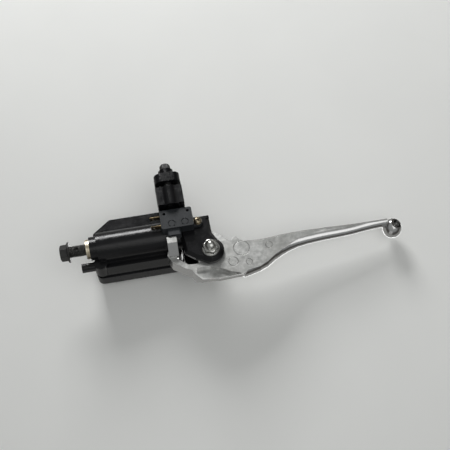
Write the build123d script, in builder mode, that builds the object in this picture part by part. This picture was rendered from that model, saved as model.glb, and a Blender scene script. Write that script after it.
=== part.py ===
from build123d import *
import math
import os

# Right-hand front brake master cylinder for a round handlebar.
# Origin: centre of the handlebar clamp. +X along the bar towards the lever's ball end,
# +Y forwards, away from the rider, +Z up, towards the reservoir cap.

os.makedirs("parts", exist_ok=True)

# ---- driving dimensions (mm) ----
bar_r = 11.1               # 22.2 mm handlebar
clamp_length = 22.0        # along the bar
clamp_gap = 4.5            # between the two clamp halves
clamp_wall = 5.0
clamp_bolt_r = 3.0
clamp_boss_r = 6.4
clamp_boss_out = 14.8      # from the bar's centre to the seat of the clamp bolts
body_boss_r = 7.0
body_boss_length = 18.2
clamp_thread = 11.5
clamp_step = 3.6           # how much more the bolt bosses span than the clamp's block

bore_r = 7.0               # 14 mm cylinder bore
barrel_wall = 5.5
bore_y = 36.0              # bore axis, forward of the bar
bore_z = 4.0               # bore axis, above the bar's centre
mouth_x = 10.0             # open end of the barrel
seat_x = -73.0             # hose fitting seat
bore_end_x = seat_x + 12.0 # closed end of the bore

reservoir_x0 = seat_x + 2.0  # outer outline of the reservoir
reservoir_x1 = 4.0
reservoir_y0 = 6.0
reservoir_y1 = 54.0
reservoir_wall = 3.2
boss_cover = 1.5           # from the upper clamp boss up to the reservoir's rim
cap_height = 12.0

pivot_x = 26.0
pivot_y = 60.0
ear_thick = 5.5
ear_r = 11.2
lever_thick = 14.0

ball_x = 182.5
ball_y = 62.3
ball_z = 4.0
ball_r = 8.0
ball_half_z = 9.8

fit = 0.05                 # radial clearance of a part that runs or screws in another
gap = 0.3                  # clearance between moving parts that only come near
seat = 0.1                 # clearance of parts dropped in a pocket

# ---- derived places ----
barrel_r = bore_r + barrel_wall
clamp_bolt_z = bar_r + clamp_boss_r
clamp_half_z = clamp_bolt_z + clamp_boss_r
reservoir_top = clamp_bolt_z + body_boss_r + boss_cover    # face that the diaphragm seals on
half_gap = clamp_gap / 2
lever_z0 = bore_z - lever_thick / 2
lever_z1 = bore_z + lever_thick / 2
ear_z0 = lever_z0 - gap - ear_thick
ear_z1 = lever_z1 + gap + ear_thick
barrel_bottom = bore_z - barrel_r


def across(x):
    """Plane across the bore: sketch x is +Y and sketch y is +Z."""
    return Plane(origin=(x, bore_y, bore_z), x_dir=(0, 1, 0), z_dir=(1, 0, 0))


def level(z):
    return Plane.XY.offset(z)


def forward(x, y, z):
    """Plane that faces +Y at a point."""
    return Plane(origin=(x, y, z), x_dir=(1, 0, 0), z_dir=(0, 1, 0))


# Plane that holds the bore axis: sketch x runs along +X and sketch y is the radius.
bore_plane = Plane(origin=(0, bore_y, bore_z), x_dir=(1, 0, 0), z_dir=(0, 0, 1))


def bore_ring(x0, x1, r0, r1):
    """Ring about the bore axis from x0 to x1, with inner radius r0 and outer radius r1."""
    with BuildPart() as ring:
        with BuildSketch(across(x0)):
            Circle(r1)
            if r0 > 0:
                Circle(r0, mode=Mode.SUBTRACT)
        extrude(amount=x1 - x0)
    return ring.part


# ---- reservoir outline, shared by casting, diaphragm and cap ----
cut_x = 16.0               # the corner by the rider is cut away
cut_y = 12.0
corner_r = 5.0


def reservoir_outline(inset):
    """Outline of the reservoir with rounded corners, moved inwards by inset."""
    with BuildSketch(mode=Mode.PRIVATE) as outline:
        with BuildLine():
            Polyline(
                (reservoir_x0, reservoir_y0 + cut_y),
                (reservoir_x0 + cut_x, reservoir_y0),
                (reservoir_x1, reservoir_y0),
                (reservoir_x1, reservoir_y1),
                (reservoir_x0, reservoir_y1),
                close=True,
            )
        make_face()
        fillet(outline.vertices(), corner_r)
        if inset != 0:
            offset(amount=-inset, mode=Mode.REPLACE)
    return outline.sketch


reservoir_floor = bore_z + bore_r + 3.0       # inside floor, above the bore's wall
reservoir_bottom = reservoir_floor - 3.5
draft = 1.2                                   # how far the walls lean in at the bottom
flange_out = 0.8

cap_screw_r = 2.0
cap_screw_inset = 6.5
cap_screw_places = [
    (reservoir_x0 + cap_screw_inset, reservoir_y1 - cap_screw_inset),
    (reservoir_x1 - cap_screw_inset, reservoir_y0 + cap_screw_inset),
]
screw_post_r = cap_screw_r + 2.2
# the screws end just above the upper clamp bolt
cap_screw_depth = reservoir_top - clamp_bolt_z - clamp_bolt_r - 1.0

sight_r = 6.0
sight_x = -34.0
sight_z = 19.5

port_hole_r = 5.0
comp_port_r = 0.6
supply_port_r = 1.6

# ---- piston places, at rest ----
pusher_face_x = 16.3       # lever's pushing face
piston_tip_x = pusher_face_x - gap
piston_rod_r = 4.5
piston_back_x = -36.0
land = 4.0
secondary_x = -8.0
snap_x = 5.2
snap_t = 1.2
snap_out = 0.9
stop_t = 1.5

comp_port_x = piston_back_x - 1.2
supply_port_x = -22.0

# ---- switch places ----
switch_w = 27.0
switch_x = -11.3
switch_y0 = 23.0
switch_y1 = 40.5
switch_top = min(barrel_bottom, ear_z0)       # seat of the switch under the barrel
switch_h = 9.6
switch_wall = 1.6
switch_base_t = 1.6
switch_bottom = switch_top - switch_h
tongue_w = 8.5
tongue_t = 3.0
switch_screw_x = switch_x + switch_w + 3.6
switch_screw_y = 34.4
switch_screw_r = 2.0
switch_screw_depth = 4.0
plunger_x = -4.5
guide_x = plunger_x + 3.0
plunger_r = 1.75
plunger_collar = 0.9
plunger_z = switch_top - switch_wall - plunger_r - plunger_collar - seat
guide_w = 11.5
guide_h = 7.0
guide_len = 5.7
terminal_w = 4.8
terminal_t = 0.8
terminal_out = 8.5
terminal_z = switch_bottom + switch_base_t + terminal_w / 2 + 0.6
terminal_ys = (switch_y0 + 4.0, switch_y1 - 5.0)

# ---- body casting ----
finger_y = 49.5
finger_z = 11.0
finger_w = 6.4
finger_post_r = 5.6
finger_h = 8.0

back_wall_y = bore_y - 7.3
ear_points = [
    (2.0, bore_y + 3),
    (3.2, bore_y + 9.5),
    (4.6, pivot_y - 0.5),
    (13.0, pivot_y + 6.0),
    (pivot_x - 3.5, pivot_y + ear_r - 1.4),
    (pivot_x, pivot_y),
    (pivot_x + ear_r - 1.0, pivot_y - 3),
    (pivot_x + 5.0, bore_y + 11),
    (pivot_x + 3.5, bore_y + 8),
    (pivot_x + 3.5, back_wall_y),
    (2.0, back_wall_y),
]
back_wall_t = 2.3
back_wall_x = mouth_x + 4.5
ear_bevel = 2.8
with BuildPart() as lower_ear:
    with BuildSketch(level(ear_z0)):
        with BuildLine():
            Polyline(*ear_points, close=True)
        make_face()
        with Locations((pivot_x, pivot_y)):
            Circle(ear_r)
    extrude(amount=ear_thick)
    chamfer(lower_ear.faces().sort_by(Axis.Z)[0].edges(), ear_bevel)

with BuildPart() as body_casting:
    # barrel with a smaller boss at the hose end
    with BuildSketch(across(seat_x + 6)):
        Circle(barrel_r)
    extrude(amount=mouth_x - seat_x - 6)
    with BuildSketch(across(seat_x)):
        Circle(barrel_r - 2.5)
    extrude(amount=8)
    # reservoir block, leaning in towards its floor
    with BuildSketch(level(reservoir_bottom)):
        add(reservoir_outline(draft))
    with BuildSketch(level(reservoir_top - 5)):
        add(reservoir_outline(flange_out))
    loft()
    with BuildSketch(level(reservoir_top - 5)):
        add(reservoir_outline(flange_out))
    extrude(amount=5)
    # neck under the reservoir, down to the barrel
    with BuildSketch(level(bore_z)):
        with Locations(((reservoir_x0 + reservoir_x1) / 2, bore_y)):
            RectangleRounded(reservoir_x1 - reservoir_x0 - 14, 2 * barrel_r - 1, 3)
    extrude(amount=reservoir_bottom - bore_z + 0.5)
    # fluid space
    with BuildSketch(level(reservoir_floor)):
        add(reservoir_outline(reservoir_wall + 1.5))
    extrude(amount=reservoir_top - reservoir_floor, mode=Mode.SUBTRACT)
    # posts for the cap screws
    with BuildSketch(level(reservoir_floor - 1)):
        with Locations(*cap_screw_places):
            Circle(screw_post_r)
    extrude(amount=reservoir_top - reservoir_floor + 1)
    # clamp half, its bolt bosses and the web to the barrel
    with BuildSketch(forward(0, half_gap, 0)):
        RectangleRounded(clamp_length, 2 * clamp_half_z - clamp_step, 4)
    extrude(amount=8)
    with BuildSketch(forward(0, half_gap, clamp_step / 4 - clamp_half_z / 2)):
        Rectangle(clamp_length, clamp_half_z - clamp_step / 2)
    extrude(amount=body_boss_length - 1)
    with BuildSketch(forward(0, half_gap, 0)):
        with Locations((0, clamp_bolt_z), (0, -clamp_bolt_z)):
            Circle(body_boss_r)
    extrude(amount=body_boss_length)
    with BuildSketch(Plane.YZ.offset(-clamp_length / 2)):
        with BuildLine():
            Polyline(
                (half_gap + 6, -bar_r - 4),
                (switch_y0 - gap, switch_top),
                (bore_y, switch_top),
                (bore_y, barrel_bottom + 15),
                (half_gap + 6, bar_r + 5),
                close=True,
            )
        make_face()
    extrude(amount=clamp_length / 2 + mouth_x)
    # pivot ears above and below the lever, joined by a wall behind it
    add(lower_ear.part)
    add(mirror(lower_ear.part, about=level(bore_z)))
    with BuildSketch(level(ear_z0)):
        with Locations((back_wall_x, back_wall_y)):
            Rectangle(pivot_x + 3.5 - back_wall_x, back_wall_t, align=(Align.MIN, Align.MIN))
    extrude(amount=ear_z1 - ear_z0)
    # hose-stop finger beside the hose fitting
    with BuildSketch(Plane.YZ.offset(seat_x - 9)):
        with Locations((finger_y, finger_z)):
            RectangleRounded(finger_w, finger_h, 2.4)
    extrude(amount=14)
    with BuildSketch(level(finger_z - finger_h / 2 - 0.5)):
        with Locations((seat_x + 7.0, finger_y)):
            Circle(finger_post_r)
    extrude(amount=reservoir_top - 5 - finger_z + finger_h / 2 + 0.5)
    # pad and screw boss for the switch
    with BuildSketch(level(switch_top)):
        with Locations((switch_x, switch_y0 + 1)):
            Rectangle(switch_w - 1, switch_y1 - switch_y0 - 2, align=(Align.MIN, Align.MIN))
        with Locations((switch_screw_x, switch_screw_y)):
            Circle(tongue_w / 2)
    extrude(amount=4)
    # bar bore
    with BuildSketch(Plane.YZ.offset(-clamp_length)):
        Circle(bar_r)
    extrude(amount=2 * clamp_length, mode=Mode.SUBTRACT)
    # arch pocket in the end of the lower clamp boss
    with BuildSketch(forward(0, half_gap + body_boss_length, -clamp_bolt_z)):
        Circle(body_boss_r - 1.2)
    extrude(amount=clamp_thread + 1.5 - body_boss_length, mode=Mode.SUBTRACT)
    # clamp bolt holes
    with BuildSketch(forward(0, half_gap, 0)):
        with Locations((0, clamp_bolt_z), (0, -clamp_bolt_z)):
            Circle(clamp_bolt_r + fit)
    extrude(amount=clamp_thread, mode=Mode.SUBTRACT)
    # cylinder bore, mouth counterbore and snap ring groove
    with BuildSketch(across(bore_end_x)):
        Circle(bore_r)
    extrude(amount=mouth_x - bore_end_x, mode=Mode.SUBTRACT)
    with BuildSketch(across(snap_x - stop_t - seat)):
        Circle(bore_r + 1.2)
    extrude(amount=mouth_x - snap_x + stop_t + seat, mode=Mode.SUBTRACT)
    with BuildSketch(across(snap_x)):
        Circle(bore_r + 1.2 + snap_out)
    extrude(amount=snap_t + seat, mode=Mode.SUBTRACT)
    # hose fitting hole
    with BuildSketch(across(seat_x)):
        Circle(port_hole_r + fit)
    extrude(amount=bore_end_x - seat_x + 1, mode=Mode.SUBTRACT)
    # ports from the reservoir floor into the bore
    with BuildSketch(level(bore_z + 2)):
        with Locations((comp_port_x, bore_y)):
            Circle(comp_port_r)
        with Locations((supply_port_x, bore_y)):
            Circle(supply_port_r)
    extrude(amount=reservoir_floor - bore_z, mode=Mode.SUBTRACT)
    # pivot bolt hole through both ears
    with BuildSketch(level(ear_z0)):
        with Locations((pivot_x, pivot_y)):
            Circle(4.0 + fit)
    extrude(amount=ear_z1 - ear_z0, mode=Mode.SUBTRACT)
    # cap screw holes
    with BuildSketch(level(reservoir_top)):
        with Locations(*cap_screw_places):
            Circle(cap_screw_r + fit)
    extrude(amount=-cap_screw_depth - 0.5, mode=Mode.SUBTRACT)
    # switch screw hole
    with BuildSketch(level(switch_top)):
        with Locations((switch_screw_x, switch_screw_y)):
            Circle(switch_screw_r + fit)
    extrude(amount=switch_screw_depth, mode=Mode.SUBTRACT)
    # sight glass hole through the rider's side
    with BuildSketch(forward(sight_x, reservoir_y0 - 5, sight_z)):
        Circle(sight_r + fit)
    extrude(amount=14, mode=Mode.SUBTRACT)
body_casting.part.label = "body_casting"
export_step(body_casting.part, "parts/body_casting.step")

# ---- reservoir: diaphragm, plate, cap, screws ----
diaphragm_t = 1.6
plate_t = 1.2
cap_wall = 2.5
cap_bottom = reservoir_top
cap_top = cap_bottom + cap_height
cap_out = flange_out - 0.4                   # cap stands this much inside the casting's lip

with BuildPart() as diaphragm:
    with BuildSketch(level(reservoir_top)):
        add(reservoir_outline(1.2))
        with Locations(*cap_screw_places):
            Circle(cap_screw_r + 0.4, mode=Mode.SUBTRACT)
    extrude(amount=diaphragm_t)
    # trough that dips into the fluid space
    with BuildSketch(level(reservoir_top)):
        add(reservoir_outline(reservoir_wall + 7.5))
    extrude(amount=-1.8)
    with BuildSketch(level(reservoir_top + diaphragm_t)):
        add(reservoir_outline(reservoir_wall + 9.0))
    extrude(amount=-diaphragm_t - 0.4, mode=Mode.SUBTRACT)
diaphragm.part.label = "diaphragm"
export_step(diaphragm.part, "parts/diaphragm.step")

with BuildPart() as diaphragm_plate:
    with BuildSketch(level(reservoir_top + diaphragm_t)):
        add(reservoir_outline(cap_wall + seat + 1.0))
        with Locations(*cap_screw_places):
            Circle(cap_screw_r + 0.4, mode=Mode.SUBTRACT)
        with Locations(((reservoir_x0 + reservoir_x1) / 2, bore_y - 3)):
            Circle(3.0, mode=Mode.SUBTRACT)
    extrude(amount=plate_t)
diaphragm_plate.part.label = "diaphragm_plate"
export_step(diaphragm_plate.part, "parts/diaphragm_plate.step")

cap_roof = 3.0
screw_head_r = 3.6
screw_head_h = 2.2
cap_inside_top = cap_top - cap_roof
with BuildPart() as reservoir_cap:
    with BuildSketch(level(cap_bottom)):
        add(reservoir_outline(-cap_out))
    extrude(amount=cap_height)
    fillet(reservoir_cap.faces().sort_by(Axis.Z)[-1].edges(), 1.5)
    # room for the diaphragm's rim and its plate, then the air space above them
    with BuildSketch(level(cap_bottom)):
        add(reservoir_outline(1.2 - seat))
    extrude(amount=diaphragm_t + plate_t, mode=Mode.SUBTRACT)
    with BuildSketch(level(cap_bottom + diaphragm_t + plate_t)):
        add(reservoir_outline(cap_wall + 3.0))
    extrude(amount=cap_inside_top - cap_bottom - diaphragm_t - plate_t, mode=Mode.SUBTRACT)
    # pillars that the screws pass through
    with BuildSketch(level(cap_bottom + diaphragm_t + plate_t)):
        with Locations(*cap_screw_places):
            Circle(screw_post_r)
    extrude(amount=cap_inside_top - cap_bottom - diaphragm_t - plate_t + 0.5)
    with BuildSketch(level(cap_bottom)):
        with Locations(*cap_screw_places):
            Circle(cap_screw_r + 0.2)
    extrude(amount=cap_height, mode=Mode.SUBTRACT)
    with BuildSketch(level(cap_top - screw_head_h - 0.3)):
        with Locations(*cap_screw_places):
            Circle(screw_head_r + 0.3)
    extrude(amount=screw_head_h + 0.3, mode=Mode.SUBTRACT)
    # raised panel on the roof
    with BuildSketch(level(cap_top)):
        add(reservoir_outline(11.0))
    extrude(amount=0.8)
reservoir_cap.part.label = "reservoir_cap"
export_step(reservoir_cap.part, "parts/reservoir_cap.step")

cap_screw_seat = cap_top - screw_head_h - 0.3
with BuildPart() as cap_screws:
    with BuildSketch(level(cap_screw_seat)):
        with Locations(*cap_screw_places):
            Circle(screw_head_r)
    extrude(amount=screw_head_h)
    with BuildSketch(level(reservoir_top - cap_screw_depth)):
        with Locations(*cap_screw_places):
            Circle(cap_screw_r)
    extrude(amount=cap_screw_seat - reservoir_top + cap_screw_depth)
    # cross recess
    with BuildSketch(level(cap_screw_seat + screw_head_h)):
        with Locations(*cap_screw_places):
            Rectangle(4.0, 0.9)
            Rectangle(0.9, 4.0)
    extrude(amount=-1.4, mode=Mode.SUBTRACT)
cap_screws.part.label = "cap_screws"
export_step(cap_screws.part, "parts/cap_screws.step")

# splash plate clipped over the ports on the reservoir floor
splash_length = 22.0
with BuildPart() as splash_plate:
    with BuildSketch(level(reservoir_floor + 2.0)):
        with Locations(((comp_port_x + supply_port_x) / 2, bore_y)):
            RectangleRounded(splash_length, 10, 2)
            Circle(1.0, mode=Mode.SUBTRACT)
    extrude(amount=0.8)
    with BuildSketch(level(reservoir_floor)):
        with Locations(((comp_port_x + supply_port_x) / 2, bore_y)):
            with GridLocations(splash_length - 4, 6, 2, 2):
                Circle(1.0)
    extrude(amount=2.0)
splash_plate.part.label = "splash_plate"
export_step(splash_plate.part, "parts/splash_plate.step")

# ---- sight glass on the rider's side ----
sight_out_y = reservoir_y0 - 0.3
sight_in_y = reservoir_y0 + reservoir_wall + 1.8
with BuildPart() as sight_glass:
    with BuildSketch(forward(sight_x, sight_out_y, sight_z)):
        Circle(sight_r - 1.0)
    extrude(amount=sight_in_y - sight_out_y)
sight_glass.part.label = "sight_glass"
export_step(sight_glass.part, "parts/sight_glass.step")

with BuildPart() as sight_ring:
    with BuildSketch(forward(sight_x, sight_out_y, sight_z)):
        Circle(sight_r)
        Circle(sight_r - 1.0, mode=Mode.SUBTRACT)
    extrude(amount=sight_in_y - sight_out_y)
sight_ring.part.label = "sight_glass_ring"
export_step(sight_ring.part, "parts/sight_glass_ring.step")

# ---- clamp cap with its bolts and washers ----
clamp_floor_y = -clamp_boss_out               # seat of the bolt washers
clamp_flange_t = 8.0
with BuildPart() as clamp_cap:
    with BuildSketch(Plane.YZ.offset(-clamp_length / 2)):
        Circle(bar_r + clamp_wall)
        with Locations((-half_gap - clamp_flange_t, 0)):
            Rectangle(clamp_flange_t, 2 * clamp_half_z, align=(Align.MIN, Align.CENTER))
        with Locations((-half_gap, 0)):
            Rectangle(60, 80, align=(Align.MIN, Align.CENTER), mode=Mode.SUBTRACT)
        Circle(bar_r, mode=Mode.SUBTRACT)
    extrude(amount=clamp_length)
    # ends drawn in around the bolts
    with BuildSketch(forward(0, -40, 0)):
        Rectangle(clamp_length + 2, 2 * clamp_half_z + 2)
        RectangleRounded(clamp_length, 2 * clamp_half_z, 6, mode=Mode.SUBTRACT)
    extrude(amount=40, mode=Mode.SUBTRACT)
    with BuildSketch(forward(0, clamp_floor_y, 0)):
        with Locations((0, clamp_bolt_z), (0, -clamp_bolt_z)):
            Circle(clamp_boss_r)
    extrude(amount=-half_gap - clamp_floor_y)
    with BuildSketch(Plane.YZ.offset(-clamp_length / 2)):
        Circle(bar_r)
    extrude(amount=clamp_length, mode=Mode.SUBTRACT)
    with BuildSketch(forward(0, -40, 0)):
        with Locations((0, clamp_bolt_z), (0, -clamp_bolt_z)):
            Circle(clamp_bolt_r + 0.25)
    extrude(amount=40, mode=Mode.SUBTRACT)
clamp_cap.part.label = "clamp_cap"
export_step(clamp_cap.part, "parts/clamp_cap.step")

washer_t = 1.4
with BuildPart() as clamp_washers:
    with BuildSketch(forward(0, clamp_floor_y - washer_t, 0)):
        with Locations((0, clamp_bolt_z), (0, -clamp_bolt_z)):
            Circle(clamp_bolt_r + 2.4)
            Circle(clamp_bolt_r + 0.2, mode=Mode.SUBTRACT)
    extrude(amount=washer_t)
clamp_washers.part.label = "clamp_washers"
export_step(clamp_washers.part, "parts/clamp_washers.step")

clamp_head_y = clamp_floor_y - washer_t
clamp_head_h = 5.0
with BuildPart() as clamp_bolts:
    with BuildSketch(forward(0, clamp_head_y - clamp_head_h, 0)):
        with Locations((0, clamp_bolt_z), (0, -clamp_bolt_z)):
            RegularPolygon(4.6, 6)
            Circle(2.0, mode=Mode.SUBTRACT)
    extrude(amount=clamp_head_h)
    with BuildSketch(forward(0, clamp_head_y - clamp_head_h + 0.8, 0)):
        with Locations((0, clamp_bolt_z), (0, -clamp_bolt_z)):
            Circle(2.0)
    extrude(amount=clamp_head_h - 0.8)
    with BuildSketch(forward(0, clamp_head_y, 0)):
        with Locations((0, clamp_bolt_z), (0, -clamp_bolt_z)):
            Circle(clamp_bolt_r)
    extrude(amount=half_gap + clamp_thread - 0.5 - clamp_head_y)
clamp_bolts.part.label = "clamp_bolts"
export_step(clamp_bolts.part, "parts/clamp_bolts.step")

# ---- hose bolt, standing partly out of its seat, and its two washers ----
banjo_washer_t = 1.5
banjo_washer_r = 8.3
banjo_length = 17.0                            # shank showing between seat and head
banjo_head_x = seat_x - banjo_length
flange_t = 2.0
banjo_head_h = 8.0
banjo_in = 8.0
with BuildPart() as banjo_bolt:
    with BuildSketch(across(banjo_head_x)):
        Circle(port_hole_r)
    extrude(amount=banjo_length + banjo_in)
    with BuildSketch(across(banjo_head_x - flange_t)):
        Circle(8.8)
    extrude(amount=flange_t)
    with BuildSketch(across(banjo_head_x - banjo_head_h)):
        RegularPolygon(7.0, 6)
    extrude(amount=banjo_head_h)
    # fluid way: drilled along the shank and across it
    with BuildSketch(across(seat_x + banjo_in)):
        Circle(1.7)
    extrude(amount=-banjo_in - banjo_length + 4, mode=Mode.SUBTRACT)
    with BuildSketch(level(bore_z - 6)):
        with Locations((banjo_head_x + 6, bore_y)):
            Circle(1.4)
    extrude(amount=12, mode=Mode.SUBTRACT)
banjo_bolt.part.label = "banjo_bolt"
export_step(banjo_bolt.part, "parts/banjo_bolt.step")

with BuildPart() as banjo_washers:
    for x in (seat_x - banjo_washer_t, seat_x - 2 * banjo_washer_t - 0.1):
        with BuildSketch(across(x)):
            Circle(banjo_washer_r)
            Circle(port_hole_r + 0.15, mode=Mode.SUBTRACT)
        extrude(amount=banjo_washer_t)
banjo_washers.part.label = "banjo_washers"
export_step(banjo_washers.part, "parts/banjo_washers.step")

# ---- piston, cups, spring, stop ----
groove_r = bore_r - 2.6
cup_t = 3.2
cup_r = bore_r - 0.03
# the rod ends in a dome that the lever's face rolls on
dome_h = 2.0
dome_edge_r = piston_rod_r - 0.8
dome_x = piston_tip_x - dome_h
dome_r = (dome_edge_r ** 2 + dome_h ** 2) / (2 * dome_h)
dome_half_angle = math.asin(dome_edge_r / dome_r) / 2
dome_middle = (
    piston_tip_x - dome_r * (1 - math.cos(dome_half_angle)),
    dome_r * math.sin(dome_half_angle),
)
with BuildPart() as piston:
    with BuildSketch(bore_plane):
        with BuildLine():
            Polyline(
                (piston_back_x - 4.0, 0),
                (piston_back_x - 4.0, groove_r - 1.2),
                (piston_back_x, groove_r - 1.2),
                (piston_back_x, bore_r - fit),
                (piston_back_x + land, bore_r - fit),
                (piston_back_x + land, groove_r),
                (secondary_x - land, groove_r),
                (secondary_x - land, bore_r - fit),
                (secondary_x, bore_r - fit),
                (secondary_x, groove_r),
                (secondary_x + cup_t + seat, groove_r),
                (secondary_x + cup_t + seat, bore_r - fit),
                (snap_x - stop_t - seat - gap, bore_r - fit),
                (snap_x - stop_t - seat - gap, piston_rod_r),
                (dome_x, piston_rod_r),
            )
            Line((dome_x, piston_rod_r), (dome_x, dome_edge_r))
            ThreePointArc((dome_x, dome_edge_r), dome_middle, (piston_tip_x, 0))
            Line((piston_tip_x, 0), (piston_back_x - 4.0, 0))
        make_face()
    revolve(axis=Axis((0, bore_y, bore_z), (1, 0, 0)))
piston.part.label = "piston"
export_step(piston.part, "parts/piston.step")

with BuildPart() as primary_cup:
    with BuildSketch(across(piston_back_x - cup_t)):
        Circle(cup_r)
        Circle(groove_r - 1.2 + 0.02, mode=Mode.SUBTRACT)
    extrude(amount=cup_t)
    with BuildSketch(across(piston_back_x - cup_t)):
        Circle(cup_r - 0.9)
        Circle(groove_r - 0.2, mode=Mode.SUBTRACT)
    extrude(amount=1.4, mode=Mode.SUBTRACT)
primary_cup.part.label = "primary_cup"
export_step(primary_cup.part, "parts/primary_cup.step")

with BuildPart() as secondary_cup:
    with BuildSketch(across(secondary_x + seat / 2)):
        Circle(cup_r)
        Circle(groove_r + 0.02, mode=Mode.SUBTRACT)
    extrude(amount=cup_t)
secondary_cup.part.label = "secondary_cup"
export_step(secondary_cup.part, "parts/secondary_cup.step")

spring_wire = 1.1
spring_turns = 6
spring_r = bore_r - 1.2 - spring_wire / 2
spring_x0 = bore_end_x + spring_wire / 2
spring_x1 = piston_back_x - cup_t - spring_wire / 2 - 0.9
with BuildPart() as piston_spring:
    with BuildLine() as coil:
        Helix(
            pitch=(spring_x1 - spring_x0) / spring_turns,
            height=spring_x1 - spring_x0,
            radius=spring_r,
            center=(spring_x0, bore_y, bore_z),
            direction=(1, 0, 0),
        )
    with BuildSketch(Plane(origin=coil.line @ 0, z_dir=coil.line % 0)):
        Circle(spring_wire / 2)
    sweep(path=coil.line)
piston_spring.part.label = "piston_spring"
export_step(piston_spring.part, "parts/piston_spring.step")

with BuildPart() as spring_guide:
    add(bore_ring(piston_back_x - cup_t - 0.8, piston_back_x - cup_t, groove_r - 1.15, cup_r - 1.0))
spring_guide.part.label = "spring_guide"
export_step(spring_guide.part, "parts/spring_guide.step")

with BuildPart() as stop_washer:
    add(bore_ring(snap_x - stop_t, snap_x, piston_rod_r + 0.3, bore_r + 1.2 - 0.05))
stop_washer.part.label = "stop_washer"
export_step(stop_washer.part, "parts/stop_washer.step")

with BuildPart() as snap_ring:
    with BuildSketch(across(snap_x)):
        Circle(bore_r + 1.2 + snap_out - 0.05)
        Circle(bore_r - 0.9, mode=Mode.SUBTRACT)
        with Locations((0, bore_r)):
            Rectangle(6, 8, mode=Mode.SUBTRACT)
    extrude(amount=snap_t)
snap_ring.part.label = "snap_ring"
export_step(snap_ring.part, "parts/snap_ring.step")

boot_x0 = snap_x + snap_t + 0.2
boot_x1 = piston_tip_x - 2.2
boot_folds = 2
boot_rim = bore_r + 1.1
boot_wall = 0.9
with BuildPart() as dust_boot:
    fold = (boot_x1 - boot_x0 - 1.6) / (2 * boot_folds)
    outer = [(boot_x0, boot_rim), (boot_x0 + 1.6, boot_rim)]
    for i in range(boot_folds):
        x = boot_x0 + 1.6 + 2 * i * fold
        ridge_r = lever_thick / 2 - 0.2 - 0.4 * i
        valley_r = ridge_r - 0.9
        outer += [(x + fold, valley_r), (x + 2 * fold, ridge_r)]
    outer[-1] = (boot_x1, piston_rod_r + boot_wall + seat)
    inner = [(x - 0.05, r - boot_wall) for x, r in reversed(outer)]
    inner[-1] = (boot_x0, boot_rim - boot_wall)
    with BuildSketch(bore_plane):
        with BuildLine():
            Polyline(*outer, *inner, close=True)
        make_face()
    revolve(axis=Axis((0, bore_y, bore_z), (1, 0, 0)))
dust_boot.part.label = "dust_boot"
export_step(dust_boot.part, "parts/dust_boot.step")

# ---- brake lever ----
blade_x0 = pivot_x + 24.0                      # where the plate turns into the blade
blade_run = ball_x - 4.0 - blade_x0
blade_sections = [
    # share of the blade's run, then rear edge, crease, fullest front and front of the top face,
    # all forward of the pivot, and the thickness as a share of the lever's
    (0.0, -5.8, 21.9, 24.6, 20.4, 1.0),
    (0.1, -4.8, 20.6, 22.2, 18.2, 0.95),
    (0.15, -4.6, 18.2, 20.2, 16.2, 0.9),
    (0.215, -4.9, 12.6, 14.8, 11.2, 0.85),
    (0.27, -5.6, 8.4, 11.0, 7.8, 0.8),
    (0.345, -6.0, 4.0, 7.2, 4.4, 0.75),
    (0.42, -6.1, 0.2, 4.9, 2.5, 0.72),
    (0.55, -5.8, -2.8, 3.6, 1.6, 0.66),
    (0.73, -4.8, -2.6, 2.8, 1.0, 0.62),
    (0.88, -4.5, -2.6, 0.8, -0.4, 0.6),
    (1.0, -4.4, -2.4, 0.2, -0.8, 0.58),
]
blade_steps = 18


def blade_shape(share):
    """Rear, crease, fronts and thickness at a share of the blade's run: a smooth curve through the list."""
    last = len(blade_sections) - 1
    i = max(k for k in range(last) if blade_sections[k][0] <= share)
    before, start, end, after = (blade_sections[min(max(k, 0), last)] for k in range(i - 1, i + 3))
    span = end[0] - start[0]
    t = (share - start[0]) / span
    values = []
    for k in range(1, len(start)):
        slope_start = (end[k] - before[k]) / (end[0] - before[0]) * span
        slope_end = (after[k] - start[k]) / (after[0] - start[0]) * span
        values.append(
            (2 * t**3 - 3 * t**2 + 1) * start[k]
            + (t**3 - 2 * t**2 + t) * slope_start
            + (3 * t**2 - 2 * t**3) * end[k]
            + (t**3 - t**2) * slope_end
        )
    return values


pusher_below = 4.5                            # pushing face reaches this far past the bore axis
plate_points = [
    # pushing face, then the notch between hub and arm
    (pusher_face_x, bore_y - pusher_below),
    (pusher_face_x, pivot_y - 1),
    (pusher_face_x + 0.5, pivot_y + 8.0),
    (11.5, pivot_y + 9.2),
    (5.9, pivot_y + 8.6),
    (-2.9, pivot_y + 1.0),
    (0.0, pivot_y - 7.0),
    # arm that carries the switch nose, and the front rim
    (-8.6, pivot_y - 7.0),
    (-10.0, pivot_y - 2.6),
    (-6.7, pivot_y + 4.4),
    (3.7, pivot_y + 12.2),
    (8.0, pivot_y + 14.0),
    (10.0, pivot_y + 18.1),
    (15.0, pivot_y + 24.2),
    (29.0, pivot_y + 26.3),
    (48.4, pivot_y + 25.6),
    (54.0, pivot_y + 22.0),
    # rear edge with its stop lug
    (54.0, pivot_y - 5.4),
    (51.5, pivot_y - 7.2),
    (48.8, pivot_y - 10.4),
    (46.0, pivot_y - 9.6),
    (43.5, pivot_y - 6.4),
    (36.4, pivot_y - 14.6),
    (30.4, pivot_y - 18.4),
    (pusher_face_x + 8.5, bore_y - pusher_below),
]
recess_points = [
    (12.4, pivot_y + 13.0),
    (11.6, pivot_y + 17.8),
    (16.0, pivot_y + 22.9),
    (29.0, pivot_y + 25.0),
    (38.0, pivot_y + 24.9),
    (48.2, pivot_y + 24.4),
    (38.6, pivot_y + 20.4),
    (31.1, pivot_y + 16.0),
    (23.6, pivot_y + 12.9),
]
recess_depth = 3.5
nose_z0 = plunger_z - plunger_r - gap
nose_top_z = ear_z0 + 2.4                     # stays under the round of the barrel
nose_tip_y = switch_y1 + guide_len + 0.7
bush_r = 5.5
ball_hole_r = 3.6
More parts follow.
